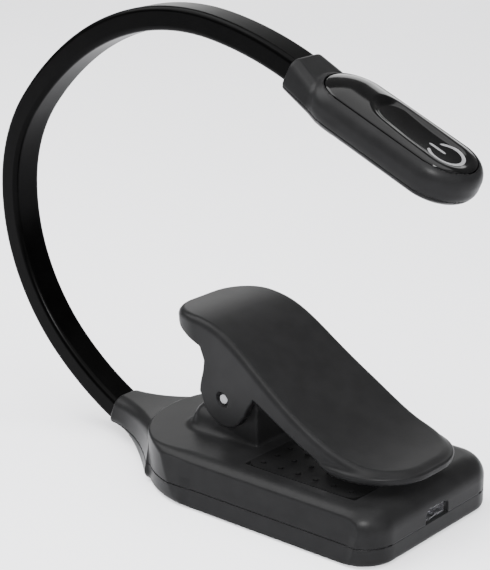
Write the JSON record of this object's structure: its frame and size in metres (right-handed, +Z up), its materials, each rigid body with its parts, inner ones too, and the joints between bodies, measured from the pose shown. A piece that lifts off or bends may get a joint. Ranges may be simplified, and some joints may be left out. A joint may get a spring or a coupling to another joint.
{
  "type": "clip on reading lamp",
  "caption": "Clip-on reading lamp: a spring clip on a rechargeable base, a flat bendable neck and a slim LED head with a press key on top.",
  "frame": {"origin": "middle of the base's flat underside", "axes": "+X towards the charging socket at the front, +Z up out of the base, X-Z is the plane of symmetry"},
  "size_m": [0.1297, 0.046, 0.1023],
  "materials": {
    "shell_plastic": "fine satin texture",
    "gloss_black": "polished",
    "icon_silver": "satin",
    "grip_rubber": "matte",
    "sleeve_rubber": "semi-gloss",
    "bright_steel": "bright",
    "wire_insulation": "smooth",
    "screw_steel": "black zinc",
    "anchor_brass": "turned",
    "board_green": "solder mask",
    "component_black": "moulded epoxy",
    "socket_steel": "tin plated",
    "cell_foil": "foil pouch",
    "lens_frosted": "frosted",
    "led_ceramic": "phosphor yellow"
  },
  "bodies": {
    "base": {"base_top_shell": "shell_plastic", "base_bottom_cover": "shell_plastic", "base_screws": "screw_steel", "lower_grip_pad": "grip_rubber", "charge_board": "board_green", "board_components": "component_black", "usb_socket_shell": "socket_steel", "usb_socket_tongue": "component_black", "battery_cell": "cell_foil", "battery_leads": "wire_insulation", "neck_anchor_lower": "anchor_brass", "pivot_pin": "bright_steel", "torsion_spring": "bright_steel"},
    "lever": {"clip_lever": "shell_plastic", "jaw_pad": "grip_rubber"},
    "link_1": {"neck_sleeve_1": "sleeve_rubber", "neck_core_1": "bright_steel", "neck_wires_1": "wire_insulation"},
    "link_2": {"neck_sleeve_2": "sleeve_rubber", "neck_core_2": "bright_steel", "neck_wires_2": "wire_insulation"},
    "link_3": {"neck_sleeve_3": "sleeve_rubber", "neck_core_3": "bright_steel", "neck_wires_3": "wire_insulation"},
    "link_4": {"neck_sleeve_4": "sleeve_rubber", "neck_core_4": "bright_steel", "neck_wires_4": "wire_insulation"},
    "link_5": {"neck_sleeve_5": "sleeve_rubber", "neck_core_5": "bright_steel", "neck_wires_5": "wire_insulation"},
    "link_6": {"neck_sleeve_6": "sleeve_rubber", "neck_core_6": "bright_steel", "neck_wires_6": "wire_insulation"},
    "link_7": {"neck_sleeve_7": "sleeve_rubber", "neck_core_7": "bright_steel", "neck_wires_7": "wire_insulation"},
    "link_8": {"neck_sleeve_8": "sleeve_rubber", "neck_core_8": "bright_steel", "neck_wires_8": "wire_insulation"},
    "head": {"neck_anchor_upper": "anchor_brass", "head_top_shell": "shell_plastic", "head_bottom_cover": "shell_plastic", "led_lens": "lens_frosted", "leds": "led_ceramic", "head_board": "board_green", "tact_switch": "component_black", "head_screws": "screw_steel"},
    "key": {"power_key": "gloss_black", "power_icon": "icon_silver", "switch_plunger": "component_black"}
  },
  "joints": [
    {"name": "clip_open", "type": "hinge", "parent": "base", "child": "lever", "pos_m": [-0.0114, 0, 0.0218], "axis": [0, -1, 0], "range_deg": [0, 30], "stiffness_Nm_per_rad": 0.12, "springref_deg": -91.67, "deforming": ["torsion_spring"]},
    {"name": "neck_turn", "type": "hinge", "parent": "base", "child": "link_1", "pos_m": [-0.0523, 0, 0.0062], "axis": [-0.8957, 0, 0.4446], "range_deg": [-35, 35]},
    {"name": "neck_bend_1", "type": "hinge", "parent": "link_1", "child": "link_2", "pos_m": [-0.06951, 0, 0.0182], "axis": [0, 1, 0], "range_deg": [-22, 22]},
    {"name": "neck_bend_2", "type": "hinge", "parent": "link_2", "child": "link_3", "pos_m": [-0.08138, 0, 0.03541], "axis": [0, 1, 0], "range_deg": [-22, 22]},
    {"name": "neck_bend_3", "type": "hinge", "parent": "link_3", "child": "link_4", "pos_m": [-0.08468, 0, 0.05602], "axis": [0, -1, 0], "range_deg": [-22, 22]},
    {"name": "neck_bend_4", "type": "hinge", "parent": "link_4", "child": "link_5", "pos_m": [-0.07711, 0, 0.07534], "axis": [0, -1, 0], "range_deg": [-22, 22]},
    {"name": "neck_bend_5", "type": "hinge", "parent": "link_5", "child": "link_6", "pos_m": [-0.06179, 0, 0.08968], "axis": [0, 1, 0], "range_deg": [-22, 22]},
    {"name": "neck_bend_6", "type": "hinge", "parent": "link_6", "child": "link_7", "pos_m": [-0.04267, 0, 0.09823], "axis": [0, -1, 0], "range_deg": [-22, 22]},
    {"name": "neck_bend_7", "type": "hinge", "parent": "link_7", "child": "link_8", "pos_m": [-0.02177, 0, 0.09899], "axis": [0, 1, 0], "range_deg": [-22, 22]},
    {"name": "head_turn", "type": "hinge", "parent": "link_8", "child": "head", "pos_m": [-0.00161, 0, 0.09306], "axis": [0.9178, 0, -0.3971], "range_deg": [-45, 45]},
    {"name": "key_press", "type": "slide", "parent": "head", "child": "key", "axis": [-0.3971, 0, -0.9178], "range_m": [0, 0.0004], "stiffness_N_per_m": 700, "springref_m": -0.0006}
  ]
}
